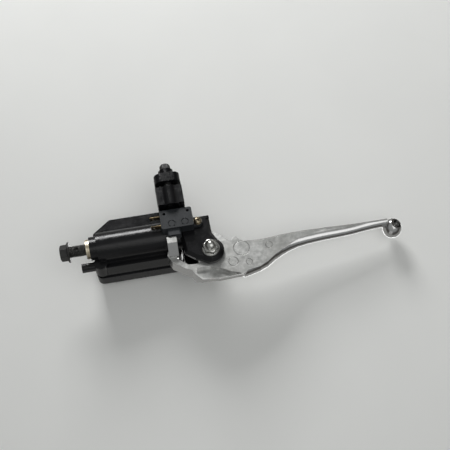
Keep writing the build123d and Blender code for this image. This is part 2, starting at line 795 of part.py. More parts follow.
ball_hole_depth = 4.0      # past the ball's centre
ball_hole_tilt = 25.0      # degrees, leaning out towards the tip
ball_flat = 7.6            # from the centre to the flat round the hole
ball_hole_dir = Vector(0, 0, 1).rotate(Axis.Y, -ball_hole_tilt)
ball_hole_plane = Plane(
    origin=Vector(ball_x, ball_y, ball_z) - ball_hole_dir * ball_half_z,
    x_dir=(0, 1, 0),
    z_dir=ball_hole_dir,
)
mark_width = 0.5
mark_depth = 0.35
pin_marks = [
    # x and y from the pivot, then radius
    (25.8, 1.4, 6.9),
    (16.9, 12.4, 4.2),
    (29.8, 15.0, 2.8),
    (49.0, 2.5, 3.2),
]
rim_lean_z = lever_z0 + 3.6                   # the front rim leans back above this height
with BuildPart() as brake_lever:
    with BuildSketch(level(lever_z0)) as plate_outline:
        with BuildLine():
            Polyline(*plate_points, close=True)
        make_face()
        fillet(plate_outline.vertices(), 1.4)
        with Locations((pivot_x, pivot_y)):
            Circle(ear_r + 1.5)
    extrude(amount=lever_thick)
    # the front rim leans back, so that its edge is thin
    with BuildSketch(Plane.YZ.offset(pusher_face_x - 10)):
        with BuildLine():
            Polyline(
                (pivot_y + 27.5, rim_lean_z),
                (pivot_y + 25.5, rim_lean_z),
                (pivot_y + 19.0, lever_z1 + 0.5),
                (pivot_y + 27.5, lever_z1 + 0.5),
                close=True,
            )
        make_face()
    extrude(amount=blade_x0 - pusher_face_x + 16, mode=Mode.SUBTRACT)
    for step in range(blade_steps + 1):
        rear, crease, front, top_front, thin = blade_shape(step / blade_steps)
        top = lever_z0 + thin * lever_thick
        with BuildSketch(Plane.YZ.offset(blade_x0 + step / blade_steps * blade_run)):
            with BuildLine():
                Polyline(
                    (pivot_y + top_front, top),
                    (pivot_y + rear, top),
                    (pivot_y + rear, lever_z0 + 1),
                    (pivot_y + rear + 1, lever_z0),
                    (pivot_y + crease, lever_z0),
                )
                ThreePointArc(
                    (pivot_y + crease, lever_z0),
                    (pivot_y + front, lever_z0 + 0.42 * (top - lever_z0)),
                    (pivot_y + top_front, top),
                )
            make_face()
    loft(ruled=True)
    # ball end, a little taller than it is round
    with BuildSketch(Plane(origin=(ball_x, ball_y, ball_z), x_dir=(1, 0, 0), z_dir=(0, -1, 0))):
        Ellipse(ball_r, ball_half_z)
        with Locations((0, 0)):
            Rectangle(2 * ball_r, 2 * ball_half_z, align=(Align.MAX, Align.CENTER), mode=Mode.SUBTRACT)
    revolve(axis=Axis((ball_x, ball_y, 0), (0, 0, 1)))
    # nose that reaches under the barrel to the switch
    with BuildSketch(Plane.YZ.offset(-8.6)):
        with BuildLine():
            Polyline(
                (nose_tip_y, nose_top_z),
                (nose_tip_y, nose_z0),
                (nose_tip_y + 5.4, nose_z0),
                (nose_tip_y + 7.2, nose_z0 + 2.6),
                (nose_tip_y + 12.4, lever_z0 - 1.6),
                (nose_tip_y + 13.6, lever_z0 + 1.0),
                (pivot_y - 7.0, lever_z0 + 1.0),
                (pivot_y - 8.0, nose_top_z),
                close=True,
            )
        make_face()
    extrude(amount=8.2)
    # recessed web behind the front rim, on both sides
    for z in (lever_z0, lever_z1 - recess_depth):
        with BuildSketch(level(z)):
            with BuildLine():
                Polyline(*recess_points, close=True)
            make_face()
        extrude(amount=recess_depth, mode=Mode.SUBTRACT)
    # pivot bore and ball hole
    with BuildSketch(level(lever_z0)):
        with Locations((pivot_x, pivot_y)):
            Circle(bush_r)
    extrude(amount=lever_thick, mode=Mode.SUBTRACT)
    with BuildSketch(ball_hole_plane):
        Circle(ball_hole_r)
    extrude(amount=ball_hole_depth + ball_half_z, mode=Mode.SUBTRACT)
    with BuildSketch(ball_hole_plane):
        Circle(ball_r)
    extrude(amount=ball_half_z - ball_flat, mode=Mode.SUBTRACT)
    # round marks that the mould's pins leave on the under face
    with BuildSketch(level(lever_z0)):
        for x, y, mark_r in pin_marks:
            with Locations((pivot_x + x, pivot_y + y)):
                Circle(mark_r)
                Circle(mark_r - mark_width, mode=Mode.SUBTRACT)
    extrude(amount=mark_depth, mode=Mode.SUBTRACT)
brake_lever.part.label = "brake_lever"
export_step(brake_lever.part, "parts/brake_lever.step")

pivot_shank_r = 4.0
with BuildPart() as pivot_bush:
    with BuildSketch(level(lever_z0)):
        with Locations((pivot_x, pivot_y)):
            Circle(bush_r)
            Circle(pivot_shank_r + fit, mode=Mode.SUBTRACT)
    extrude(amount=lever_thick)
pivot_bush.part.label = "pivot_bush"
export_step(pivot_bush.part, "parts/pivot_bush.step")

pivot_head_r = 7.0
pivot_head_h = 4.0
nut_across = 12.0
nut_h = 5.5
nut_flange_r = 7.5
nut_flange_t = 1.4
nut_dome_r = 4.6
with BuildPart() as pivot_bolt:
    with BuildSketch(level(ear_z1)):
        with Locations((pivot_x, pivot_y)):
            Circle(pivot_head_r)
    extrude(amount=pivot_head_h)
    fillet(pivot_bolt.faces().sort_by(Axis.Z)[-1].edges(), 1.0)
    with BuildSketch(level(ear_z1 + pivot_head_h)):
        with Locations((pivot_x, pivot_y)):
            Rectangle(2 * pivot_head_r, 1.6)
    extrude(amount=-1.6, mode=Mode.SUBTRACT)
    with BuildSketch(level(ear_z0 - nut_h)):
        with Locations((pivot_x, pivot_y)):
            Circle(pivot_shank_r - fit)
    extrude(amount=ear_z1 - ear_z0 + nut_h)
pivot_bolt.part.label = "pivot_bolt"
export_step(pivot_bolt.part, "parts/pivot_bolt.step")

# flanged nut with a closed dome over the bolt's end
dome_plane = Plane(origin=(pivot_x, pivot_y, ear_z0 - nut_h), x_dir=(1, 0, 0), z_dir=(0, -1, 0))
with BuildPart() as pivot_nut:
    with BuildSketch(level(ear_z0 - nut_h)):
        with Locations((pivot_x, pivot_y)):
            RegularPolygon(nut_across / 2, 6, major_radius=False)
    extrude(amount=nut_h)
    with BuildSketch(level(ear_z0 - nut_flange_t)):
        with Locations((pivot_x, pivot_y)):
            Circle(nut_flange_r)
    extrude(amount=nut_flange_t)
    with BuildSketch(dome_plane):
        Circle(nut_dome_r)
        Rectangle(20, 20, align=(Align.CENTER, Align.MIN), mode=Mode.SUBTRACT)
        Rectangle(20, 20, align=(Align.MAX, Align.CENTER), mode=Mode.SUBTRACT)
    revolve(axis=Axis((pivot_x, pivot_y, 0), (0, 0, 1)))
    with BuildSketch(level(ear_z0 - nut_h)):
        with Locations((pivot_x, pivot_y)):
            Circle(pivot_shank_r)
    extrude(amount=nut_h, mode=Mode.SUBTRACT)
pivot_nut.part.label = "pivot_nut"
export_step(pivot_nut.part, "parts/pivot_nut.step")

# ---- brake light switch ----
tongue_z = switch_top - tongue_t
with BuildPart() as switch_housing:
    with BuildSketch(level(switch_bottom)):
        with Locations((switch_x + switch_w / 2, (switch_y0 + switch_y1) / 2)):
            RectangleRounded(switch_w, switch_y1 - switch_y0, 1.5)
    extrude(amount=switch_h)
    with BuildSketch(level(tongue_z)):
        with Locations((switch_x + switch_w - 2, switch_screw_y)):
            Rectangle(switch_screw_x - switch_x - switch_w + 2, tongue_w, align=(Align.MIN, Align.CENTER))
        with Locations((switch_screw_x, switch_screw_y)):
            Circle(tongue_w / 2)
    extrude(amount=tongue_t)
    # plunger guide
    with BuildSketch(forward(guide_x, switch_y1 - 1, plunger_z)):
        RectangleRounded(guide_w, guide_h, 1.5)
    extrude(amount=guide_len + 1)
    # inside space, closed by the cover plate from below
    with BuildSketch(level(switch_bottom)):
        with Locations((switch_x + switch_w / 2, (switch_y0 + switch_y1) / 2)):
            Rectangle(switch_w - 2 * switch_wall, switch_y1 - switch_y0 - 2 * switch_wall)
    extrude(amount=switch_h - switch_wall, mode=Mode.SUBTRACT)
    # plunger bore and terminal slots
    with BuildSketch(forward(plunger_x, switch_y1 - 4, plunger_z)):
        Circle(plunger_r + fit)
    extrude(amount=12, mode=Mode.SUBTRACT)
    with BuildSketch(level(tongue_z)):
        with Locations((switch_screw_x, switch_screw_y)):
            Circle(switch_screw_r + 0.2)
    extrude(amount=tongue_t, mode=Mode.SUBTRACT)
    with BuildSketch(Plane.YZ.offset(switch_x - 1)):
        with Locations(*[(y, terminal_z) for y in terminal_ys]):
            Rectangle(terminal_t + 2 * fit, terminal_w + 2 * fit)
    extrude(amount=switch_wall + 1, mode=Mode.SUBTRACT)
switch_housing.part.label = "switch_housing"
export_step(switch_housing.part, "parts/switch_housing.step")

pin_places = [(switch_x + 3.8, switch_y0 + 3.6), (switch_x + switch_w - 3.4, switch_y0 + 3.2)]
stud_places = [(switch_x + 9.0, switch_y1 - 4.2), (switch_x + 20.0, switch_y1 - 4.2)]
stud_r = 3.2
stud_groove = 0.7
with BuildPart() as switch_cover:
    with BuildSketch(level(switch_bottom)):
        with Locations((switch_x + switch_w / 2, (switch_y0 + switch_y1) / 2)):
            Rectangle(
                switch_w - 2 * switch_wall - 2 * fit,
                switch_y1 - switch_y0 - 2 * switch_wall - 2 * fit,
            )
    extrude(amount=switch_base_t)
    with BuildSketch(level(switch_bottom)):
        with Locations(*stud_places):
            Circle(stud_r)
            Circle(stud_r - 0.7, mode=Mode.SUBTRACT)
            Rectangle(0.8, 2 * stud_r + 2, mode=Mode.SUBTRACT)
    extrude(amount=stud_groove, mode=Mode.SUBTRACT)
    with BuildSketch(level(switch_bottom)):
        with Locations(*pin_places):
            Circle(1.25)
    extrude(amount=switch_base_t, mode=Mode.SUBTRACT)
switch_cover.part.label = "switch_cover"
export_step(switch_cover.part, "parts/switch_cover.step")

plunger_tip_y = nose_tip_y - gap
plunger_in_y = switch_y1 - 7.0
with BuildPart() as switch_plunger:
    with BuildSketch(forward(plunger_x, plunger_in_y, plunger_z)):
        Circle(plunger_r)
    extrude(amount=plunger_tip_y - plunger_in_y)
    with BuildSketch(forward(plunger_x, plunger_in_y, plunger_z)):
        Circle(plunger_r + plunger_collar)
    extrude(amount=1.2)
switch_plunger.part.label = "switch_plunger"
export_step(switch_plunger.part, "parts/switch_plunger.step")

contact_t = 0.6
with BuildPart() as switch_contact:
    with BuildSketch(forward(plunger_x, plunger_in_y - contact_t, plunger_z)):
        Rectangle(7.0, 3.0)
    extrude(amount=contact_t)
switch_contact.part.label = "switch_contact"
export_step(switch_contact.part, "parts/switch_contact.step")

small_wire = 0.5
small_coil_turns = 5
small_coil_length = plunger_in_y - contact_t - switch_y0 - switch_wall - 2 * small_wire
with BuildPart() as switch_spring:
    with BuildLine() as small_coil:
        Helix(
            pitch=small_coil_length / small_coil_turns,
            height=small_coil_length,
            radius=1.6,
            center=(plunger_x, switch_y0 + switch_wall + small_wire, plunger_z),
            direction=(0, 1, 0),
        )
    with BuildSketch(Plane(origin=small_coil.line @ 0, z_dir=small_coil.line % 0)):
        Circle(small_wire / 2)
    sweep(path=small_coil.line)
switch_spring.part.label = "switch_spring"
export_step(switch_spring.part, "parts/switch_spring.step")

terminal_in = 3.0
with BuildPart() as switch_terminals:
    for y in terminal_ys:
        with BuildSketch(forward(switch_x - terminal_out, y - terminal_t / 2, terminal_z)):
            Rectangle(terminal_out + terminal_in, terminal_w, align=(Align.MIN, Align.CENTER))
            with Locations((2.6, 0)):
                Circle(0.9, mode=Mode.SUBTRACT)
        extrude(amount=terminal_t)
switch_terminals.part.label = "switch_terminals"
export_step(switch_terminals.part, "parts/switch_terminals.step")

screw_washer_t = 0.8
with BuildPart() as switch_screw_washer:
    with BuildSketch(level(tongue_z - screw_washer_t)):
        with Locations((switch_screw_x, switch_screw_y)):
            Circle(switch_screw_x - switch_x - switch_w - seat)
            Circle(switch_screw_r + 0.2, mode=Mode.SUBTRACT)
    extrude(amount=screw_washer_t)
switch_screw_washer.part.label = "switch_screw_washer"
export_step(switch_screw_washer.part, "parts/switch_screw_washer.step")

with BuildPart() as switch_screw:
    with BuildSketch(level(tongue_z - screw_washer_t)):
        with Locations((switch_screw_x, switch_screw_y)):
            Circle(3.1)
    extrude(amount=-2.4)
    fillet(switch_screw.faces().sort_by(Axis.Z)[0].edges(), 1.2)
    with BuildSketch(level(tongue_z - screw_washer_t)):
        with Locations((switch_screw_x, switch_screw_y)):
            Circle(switch_screw_r)
    extrude(amount=screw_washer_t + tongue_t + switch_screw_depth - gap)
    with BuildSketch(level(tongue_z - screw_washer_t - 2.4)):
        with Locations((switch_screw_x, switch_screw_y)):
            Rectangle(4.0, 0.9)
            Rectangle(0.9, 4.0)
    extrude(amount=1.4, mode=Mode.SUBTRACT)
switch_screw.part.label = "switch_screw"
export_step(switch_screw.part, "parts/switch_screw.step")
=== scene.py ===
# %% [markdown]
# # A handlebar brake master cylinder
# The engineering model already holds every part at its real size and place. This notebook gives the parts
# their finishes and adds the small turned and threaded pieces that a machinist would recognise. It begins
# by loading the fixed frame and noting its size.

# %% Load the frame
import math

import bmesh
import bpy
import numpy as np
from mathutils import Matrix, Vector


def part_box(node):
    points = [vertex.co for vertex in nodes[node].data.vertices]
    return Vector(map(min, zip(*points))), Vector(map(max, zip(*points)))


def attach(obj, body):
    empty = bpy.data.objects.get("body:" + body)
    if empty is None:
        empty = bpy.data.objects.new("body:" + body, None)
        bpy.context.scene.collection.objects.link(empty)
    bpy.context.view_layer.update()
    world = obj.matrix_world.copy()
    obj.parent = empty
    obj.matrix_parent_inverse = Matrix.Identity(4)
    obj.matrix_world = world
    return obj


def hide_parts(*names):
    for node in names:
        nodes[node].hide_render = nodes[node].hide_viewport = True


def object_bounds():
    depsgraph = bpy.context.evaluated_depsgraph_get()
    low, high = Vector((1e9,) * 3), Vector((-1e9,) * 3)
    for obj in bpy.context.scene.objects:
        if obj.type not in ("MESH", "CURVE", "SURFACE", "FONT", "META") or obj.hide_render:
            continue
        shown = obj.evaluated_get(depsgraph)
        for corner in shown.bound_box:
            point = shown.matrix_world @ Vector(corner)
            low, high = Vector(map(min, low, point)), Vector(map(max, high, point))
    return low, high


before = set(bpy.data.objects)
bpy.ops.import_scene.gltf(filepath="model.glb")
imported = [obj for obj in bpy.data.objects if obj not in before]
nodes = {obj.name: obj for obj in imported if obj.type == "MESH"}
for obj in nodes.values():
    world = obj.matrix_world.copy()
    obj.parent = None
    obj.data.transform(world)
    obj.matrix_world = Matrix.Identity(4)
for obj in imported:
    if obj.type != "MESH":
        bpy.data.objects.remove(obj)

cad_box = [list(corner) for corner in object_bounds()]
mm = 0.001
print("frame has", len(nodes), "nodes; its box in metres is", cad_box)

# %% [markdown]
# ## Camera
# The part lies upside down on its cap, clamp and lever ball, so it is seen from underneath and a little
# from the front. A camera is placed by the point it looks at, the way it looks, and its distance. A
# longish lens keeps the perspective mild, as it is on a small object.

# %% Camera
look_at = Vector((0.0404, 0.0470, -0.0206))
camera_rise = math.radians(61.0)       # how far below the part the camera stands
camera_swing = math.radians(10.4)      # turned about the vertical
camera_distance = 0.690
camera_lens = 67.2

to_part = Vector((
    math.sin(camera_swing) * math.cos(camera_rise),
    -math.cos(camera_swing) * math.cos(camera_rise),
    math.sin(camera_rise),
))
right = Vector((math.cos(camera_swing), math.sin(camera_swing), 0.0))
up = right.cross(to_part)
camera_data = bpy.data.cameras.new("camera")
camera_data.lens = camera_lens
camera_data.sensor_width = 36.0
camera_data.clip_start = 0.01
camera = bpy.data.objects.new("camera", camera_data)
bpy.context.scene.collection.objects.link(camera)
turn = Matrix((right, up, -to_part)).transposed().to_4x4()
camera.matrix_world = Matrix.Translation(look_at - to_part * camera_distance) @ turn
bpy.context.scene.camera = camera
bpy.context.scene.view_settings.view_transform = "Standard"
print("camera stands at", [round(v, 3) for v in camera.matrix_world.translation])

# %% [markdown]
# ## Light and floors
# A pale world with a darker band near the horizon fills the shadows and gives polished metal something to
# reflect, and large soft lamps give the black paint its long highlights. Two pale floors are used: the
# table that the part lies on, and a level one under it for views from above. Each is clear on its back
# face and takes no part in reflections or shadows cast on the part, so neither hides the part or its
# light from the other side.

# %% Light and floors
world = bpy.data.worlds.new("pale room")
bpy.context.scene.world = world
world.use_nodes = True
room = world.node_tree
background = room.nodes["Background"]
background.inputs["Strength"].default_value = 0.52
direction = room.nodes.new("ShaderNodeTexCoord").outputs["Generated"]
tilt = room.nodes.new("ShaderNodeVectorMath")
tilt.operation = "DOT_PRODUCT"
tilt.inputs[1].default_value = -to_part
room.links.new(direction, tilt.inputs[0])
bands = room.nodes.new("ShaderNodeValToRGB")
band_tones = [
    # share of the way from behind the part to behind the camera, then the tone there
    (0.0, (0.60, 0.60, 0.58)),
    (0.34, (0.62, 0.62, 0.60)),
    (0.44, (0.12, 0.11, 0.10)),
    (0.60, (0.12, 0.115, 0.11)),
    (0.74, (0.50, 0.51, 0.51)),
    (1.0, (0.62, 0.63, 0.62)),
]
ramp = bands.color_ramp
while len(ramp.elements) < len(band_tones):
    ramp.elements.new(0.5)
for element, (place, tone) in zip(ramp.elements, band_tones):
    element.position = place
    element.color = (*tone, 1.0)
half = room.nodes.new("ShaderNodeMapRange")
half.inputs["From Min"].default_value = -1.0
room.links.new(tilt.outputs["Value"], half.inputs["Value"])
room.links.new(half.outputs["Result"], bands.inputs["Fac"])
room.links.new(bands.outputs["Color"], background.inputs["Color"])


def soft_lamp(name, direction, distance, size, power):
    """Square area lamp that looks at the part from a direction."""
    data = bpy.data.lights.new(name, "AREA")
    data.energy = power
    data.size = size
    lamp = bpy.data.objects.new(name, data)
    away = Vector(direction).normalized()
    lamp.location = look_at + away * distance
    lamp.rotation_euler = away.to_track_quat("Z", "Y").to_euler()
    bpy.context.scene.collection.objects.link(lamp)


soft_lamp("window", up - to_part * 0.12 - right * 0.25, 1.1, 0.40, 8.0)
soft_lamp("room", right * 0.35 - to_part, 1.4, 1.2, 4.2)
soft_lamp("ceiling", (0.3, -0.4, 1.0), 1.3, 0.9, 5.0)
soft_lamp("front fill", (-0.4, 0.9, 0.35), 1.4, 0.9, 0.8)


def floor_material(name, tone):
    """Pale matt sheet with a faint cloudiness, clear when seen from behind."""
    material = bpy.data.materials.new(name)
    material.use_nodes = True
    tree = material.node_tree
    shader = tree.nodes["Principled BSDF"]
    shader.inputs["Roughness"].default_value = 0.75
    shader.inputs["Specular IOR Level"].default_value = 0.2
    place = tree.nodes.new("ShaderNodeTexCoord")
    cloud = tree.nodes.new("ShaderNodeTexNoise")
    cloud.inputs["Scale"].default_value = 9.0
    cloud.inputs["Detail"].default_value = 3.0
    ramp = tree.nodes.new("ShaderNodeValToRGB")
    ramp.color_ramp.elements[0].position = 0.3
    ramp.color_ramp.elements[0].color = (*[t * 0.97 for t in tone], 1.0)
    ramp.color_ramp.elements[1].position = 0.7
    ramp.color_ramp.elements[1].color = (*tone, 1.0)
    clear = tree.nodes.new("ShaderNodeBsdfTransparent")
    side = tree.nodes.new("ShaderNodeNewGeometry")
    mix = tree.nodes.new("ShaderNodeMixShader")
    tree.links.new(place.outputs["Object"], cloud.inputs["Vector"])
    tree.links.new(cloud.outputs["Fac"], ramp.inputs["Fac"])
    tree.links.new(ramp.outputs["Color"], shader.inputs["Base Color"])
    tree.links.new(side.outputs["Backfacing"], mix.inputs["Fac"])
    tree.links.new(shader.outputs["BSDF"], mix.inputs[1])
    tree.links.new(clear.outputs["BSDF"], mix.inputs[2])
    tree.links.new(mix.outputs["Shader"], tree.nodes["Material Output"].inputs["Surface"])
    return material


def floor(name, point, normal, half, material):
    """Square sheet through a point, facing along its normal."""
    normal = Vector(normal).normalized()
    side = normal.orthogonal().normalized()
    other = normal.cross(side)
    corners = [
        Vector(point) + side * a * half + other * b * half for a, b in ((-1, -1), (1, -1), (1, 1), (-1, 1))
    ]
    mesh = bpy.data.meshes.new(name)
    mesh.from_pydata([tuple(c) for c in corners], [], [(0, 1, 2, 3)])
    sheet = bpy.data.objects.new(name, mesh)
    bpy.context.scene.collection.objects.link(sheet)
    mesh.materials.append(material)
    sheet.visible_diffuse = False
    sheet.visible_glossy = False
    sheet.visible_transmission = False
    sheet.visible_shadow = False


cap_top_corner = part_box("reservoir_cap")[1]
table_normal = (-0.120, 0.190, -0.974)
table_sheet = floor_material("table sheet", (0.90, 0.905, 0.885))
floor_sheet = floor_material("floor sheet", (0.68, 0.685, 0.665))
floor("table", cap_top_corner, table_normal, 0.6, table_sheet)
floor("level floor", (0.0, 0.0, cad_box[0][2]), (0.0, 0.0, 1.0), 3.0, floor_sheet)

# %% [markdown]
# ## Effects that several finishes share
# Worn edges, casting grain and dust turn up on many parts, so each is a node group with named inputs.
# Edge wear compares the true normal with one rounded over the edge: they differ only near edges.

# %% Shared node groups


def new_group(name, inputs, outputs):
    """Empty shader group with float inputs (name, default) and named float outputs."""
    group = bpy.data.node_groups.new(name, "ShaderNodeTree")
    for title, value in inputs:
        socket = group.interface.new_socket(title, in_out="INPUT", socket_type="NodeSocketFloat")
        socket.default_value = value
    for title in outputs:
        group.interface.new_socket(title, in_out="OUTPUT", socket_type="NodeSocketFloat")
    return group, group.nodes.new("NodeGroupInput"), group.nodes.new("NodeGroupOutput")


def maths(tree, operation, first, second=None):
    """Math node whose inputs are sockets or numbers; returns its output."""
    node = tree.nodes.new("ShaderNodeMath")
    node.operation = operation
    for place, value in enumerate((first, second)):
        if value is None:
            continue
        if isinstance(value, (int, float)):
            node.inputs[place].default_value = value
        else:
            tree.links.new(value, node.inputs[place])
    return node.outputs[0]


def noise(tree, scale, detail=4.0, roughness=0.55, stretch=None):
    """Noise on Object coordinates; scale is a number or a socket, in features per metre."""
    place = tree.nodes.new("ShaderNodeTexCoord").outputs["Object"]
    if stretch:
        mapping = tree.nodes.new("ShaderNodeMapping")
        mapping.inputs["Scale"].default_value = stretch
        tree.links.new(place, mapping.inputs["Vector"])
        place = mapping.outputs["Vector"]
    node = tree.nodes.new("ShaderNodeTexNoise")
    node.inputs["Detail"].default_value = detail
    node.inputs["Roughness"].default_value = roughness
    tree.links.new(place, node.inputs["Vector"])
    if isinstance(scale, (int, float)):
        node.inputs["Scale"].default_value = scale
    else:
        tree.links.new(scale, node.inputs["Scale"])
    return node.outputs["Fac"]


def band(tree, value, low, high):
    """Stretches value from low..high to 0..1 and clamps it."""
    node = tree.nodes.new("ShaderNodeMapRange")
    node.inputs["From Min"].default_value = low
    node.inputs["From Max"].default_value = high
    tree.links.new(value, node.inputs["Value"])
    return node.outputs["Result"]


def make_edge_wear():
    """Mask that is 1 on rubbed edges: rounded normal against true normal, broken up by noise."""
    group, given, result = new_group("edge_wear", [("Break Up", 900.0), ("Amount", 1.0)], ["Mask"])
    rounded = group.nodes.new("ShaderNodeBevel")
    rounded.samples = 4
    rounded.inputs["Radius"].default_value = 0.35 * mm
    true = group.nodes.new("ShaderNodeNewGeometry")
    compare = group.nodes.new("ShaderNodeVectorMath")
    compare.operation = "DOT_PRODUCT"
    group.links.new(rounded.outputs["Normal"], compare.inputs[0])
    group.links.new(true.outputs["Normal"], compare.inputs[1])
    turned = maths(group, "SUBTRACT", 1.0, compare.outputs["Value"])
    near = band(group, turned, 0.01, 0.12)
    patchy = band(group, noise(group, given.outputs["Break Up"], 5.0), 0.42, 0.62)
    rubbed = maths(group, "MULTIPLY", near, patchy)
    group.links.new(maths(group, "MULTIPLY", rubbed, given.outputs["Amount"]), result.inputs["Mask"])
    return group


def make_grain():
    """Two sizes of noise added into one height, for cast and moulded skins."""
    inputs = [("Fine", 2600.0), ("Coarse", 420.0), ("Share", 0.5)]
    group, given, result = new_group("skin_grain", inputs, ["Height"])
    fine = noise(group, given.outputs["Fine"], 3.0)
    coarse = noise(group, given.outputs["Coarse"], 2.0)
    weighted = maths(group, "MULTIPLY", coarse, given.outputs["Share"])
    group.links.new(maths(group, "ADD", fine, weighted), result.inputs["Height"])
    return group


def make_dust():
    """Mask of settled dust and handling marks: large soft patches times fine specks."""
    group, given, result = new_group("dust", [("Patch", 60.0), ("Speck", 1500.0), ("Amount", 0.3)], ["Mask"])
    patch = band(group, noise(group, given.outputs["Patch"], 4.0), 0.4, 0.75)
    speck = band(group, noise(group, given.outputs["Speck"], 6.0, 0.7), 0.45, 0.75)
    both = maths(group, "MULTIPLY", patch, speck)
    group.links.new(maths(group, "MULTIPLY", both, given.outputs["Amount"]), result.inputs["Mask"])
    return group


shared = {"edge_wear": make_edge_wear(), "skin_grain": make_grain(), "dust": make_dust()}
print("shared groups:", sorted(shared))


def use(tree, name, **values):
    """Places a shared group in a material with its own values and returns its output."""
    node = tree.nodes.new("ShaderNodeGroup")
    node.node_tree = shared[name]
    for title, value in values.items():
        node.inputs[title.replace("_", " ")].default_value = value
    return node.outputs[0]


def tint(tree, factor, first, second):
    """Colour mix of two colours or sockets by a mask."""
    node = tree.nodes.new("ShaderNodeMix")
    node.data_type = "RGBA"
    tree.links.new(factor, node.inputs["Factor"])
    for socket, value in ((node.inputs["A"], first), (node.inputs["B"], second)):
        if isinstance(value, tuple):
            socket.default_value = (*value, 1.0)
        else:
            tree.links.new(value, socket)
    return node.outputs["Result"]


def rounded_bump(tree, height, depth, radius=0.25 * mm):
    """Bump from a height, on a normal that is softened across edges."""
    soft = tree.nodes.new("ShaderNodeBevel")
    soft.samples = 4
    soft.inputs["Radius"].default_value = radius
    bump = tree.nodes.new("ShaderNodeBump")
    bump.inputs["Strength"].default_value = 1.0
    bump.inputs["Distance"].default_value = depth
    tree.links.new(height, bump.inputs["Height"])
    tree.links.new(soft.outputs["Normal"], bump.inputs["Normal"])
    return bump.outputs["Normal"]


def finish_material(name, metallic=0.0):
    """New material with its Principled shader ready."""
    material = bpy.data.materials.new(name)
    material.use_nodes = True
    shader = material.node_tree.nodes["Principled BSDF"]
    shader.inputs["Metallic"].default_value = metallic
    return material, material.node_tree, shader


# %% [markdown]
# ## Finishes
# Black paint on a sand-textured casting is the main finish. Its skin is dark and fairly glossy, lumpy at
# the scale of a casting, greyer on rubbed edges. Plastic, rubber, zinc plate, brass and polished alloy
# follow the same plan: a colour with slow variation, a roughness that wanders, and a fine bump.

# %% Black finishes


def black_finish(name, dark, pale, smooth, rough, fine, coarse, depth, wear, wear_color, dust_amount):
    """Dark coat: colour and roughness wander between two values, edges rub to a third colour."""
    material, tree, shader = finish_material(name)
    cloud = band(tree, noise(tree, 45.0, 5.0), 0.35, 0.7)
    shader.inputs["Specular IOR Level"].default_value = 0.36
    base = tint(tree, cloud, dark, pale)
    rubbed = use(tree, "edge_wear", Break_Up=1100.0, Amount=wear)
    worn = tint(tree, rubbed, base, wear_color)
    dusty = use(tree, "dust", Patch=55.0, Speck=1700.0, Amount=dust_amount)
    tree.links.new(tint(tree, dusty, worn, (0.22, 0.21, 0.19)), shader.inputs["Base Color"])
    wander = band(tree, noise(tree, 130.0, 4.0), 0.3, 0.7)
    span = maths(tree, "MULTIPLY", wander, rough - smooth)
    tree.links.new(maths(tree, "ADD", span, smooth), shader.inputs["Roughness"])
    height = use(tree, "skin_grain", Fine=fine, Coarse=coarse, Share=0.8)
    tree.links.new(rounded_bump(tree, height, depth), shader.inputs["Normal"])
    return material


cast_paint = black_finish(
    "cast black paint", (0.004, 0.004, 0.005), (0.006, 0.006, 0.007), 0.13, 0.26,
    1500.0, 330.0, 0.07 * mm, 0.25, (0.07, 0.07, 0.075), 0.03,
)
cap_paint = black_finish(
    "smooth cap black", (0.007, 0.007, 0.008), (0.014, 0.014, 0.016), 0.24, 0.38,
    2200.0, 300.0, 0.04 * mm, 0.4, (0.12, 0.12, 0.12), 0.08,
)
switch_plastic = black_finish(
    "moulded switch nylon", (0.016, 0.019, 0.022), (0.028, 0.032, 0.037), 0.42, 0.55,
    3200.0, 700.0, 0.05 * mm, 0.25, (0.09, 0.09, 0.095), 0.15,
)
black_rubber = black_finish(
    "moulded rubber", (0.010, 0.010, 0.010), (0.018, 0.018, 0.018), 0.55, 0.7,
    2600.0, 500.0, 0.06 * mm, 0.1, (0.05, 0.05, 0.05), 0.2,
)
black_steel = black_finish(
    "black oxide steel", (0.018, 0.018, 0.018), (0.035, 0.034, 0.032), 0.28, 0.5,
    3000.0, 800.0, 0.04 * mm, 0.9, (0.3, 0.29, 0.27), 0.1,
)
print("black finishes:", [m.name for m in (cast_paint, cap_paint, switch_plastic, black_rubber, black_steel)])

# %% Metal finishes


def metal_finish(name, dark, pale, smooth, rough, fine, depth, spots, spot_color):
    """Bare or plated metal: clouded tone, wandering gloss, and a few darker spots."""
    material, tree, shader = finish_material(name, 1.0)
    cloud = band(tree, noise(tree, 210.0, 6.0, 0.6), 0.35, 0.68)
    base = tint(tree, cloud, dark, pale)
    spotted = maths(tree, "MULTIPLY", band(tree, noise(tree, 620.0, 5.0, 0.65), 0.6, 0.74), spots)
    tree.links.new(tint(tree, spotted, base, spot_color), shader.inputs["Base Color"])
    wander = band(tree, noise(tree, 330.0, 4.0), 0.3, 0.7)
    span = maths(tree, "MULTIPLY", wander, rough - smooth)
    tree.links.new(maths(tree, "ADD", span, smooth), shader.inputs["Roughness"])
    height = use(tree, "skin_grain", Fine=fine, Coarse=600.0, Share=0.5)
    tree.links.new(rounded_bump(tree, height, depth), shader.inputs["Normal"])
    return material


